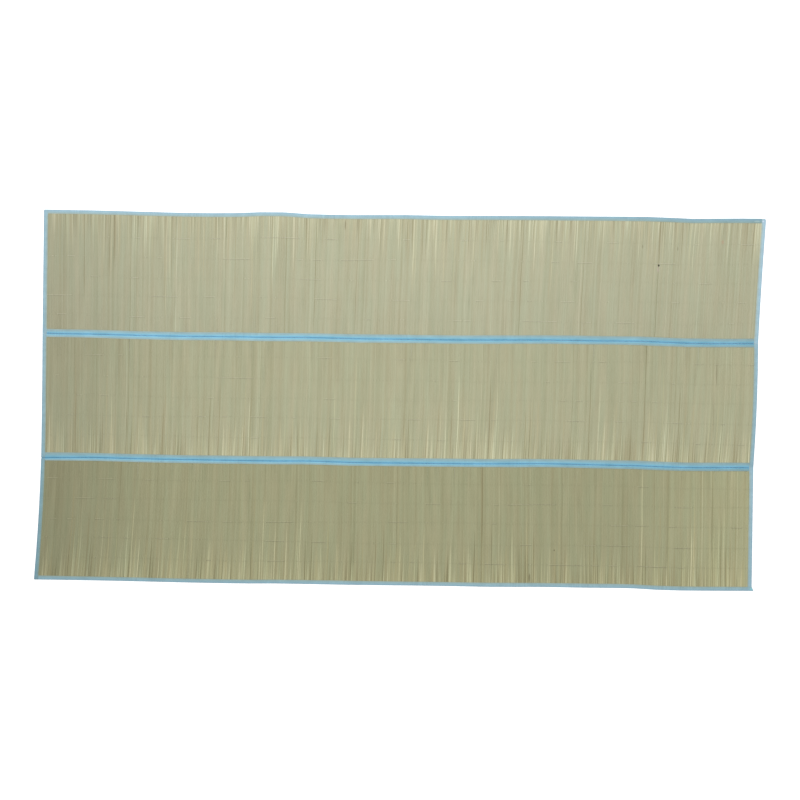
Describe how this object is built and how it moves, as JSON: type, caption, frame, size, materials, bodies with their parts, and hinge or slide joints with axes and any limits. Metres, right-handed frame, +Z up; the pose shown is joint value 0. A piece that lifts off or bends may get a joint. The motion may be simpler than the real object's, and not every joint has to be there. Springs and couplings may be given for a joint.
{
  "type": "fold-up straw beach mat",
  "caption": "Long rush beach mat laid open and flat, its panels bound with folded blue tape and joined by fold seams.",
  "frame": {"origin": "on the ground, under the middle of the mat's box", "axes": "+X along the mat's length, +Y across it towards the back panel, +Z up"},
  "size_m": [1.828, 0.9379, 0.0035],
  "materials": {
    "rush": "dry woven rush straw, grey-green to pale yellow, matt with a slight sheen",
    "tape": "plain-woven pale blue synthetic tape, folded over the rim and stitched, soft sheen"
  },
  "bodies": {
    "root": {"back_panel_rush": "rush", "back_panel_tape_front": "tape", "back_panel_tape_back": "tape", "back_panel_tape_left": "tape", "back_panel_tape_right": "tape", "middle_panel_rush": "rush", "middle_panel_tape_front": "tape", "middle_panel_tape_back": "tape", "middle_panel_tape_left": "tape", "middle_panel_tape_right": "tape", "front_panel_rush": "rush", "front_panel_tape_front": "tape", "front_panel_tape_back": "tape", "front_panel_tape_left": "tape", "front_panel_tape_right": "tape"}
  },
  "joints": []
}
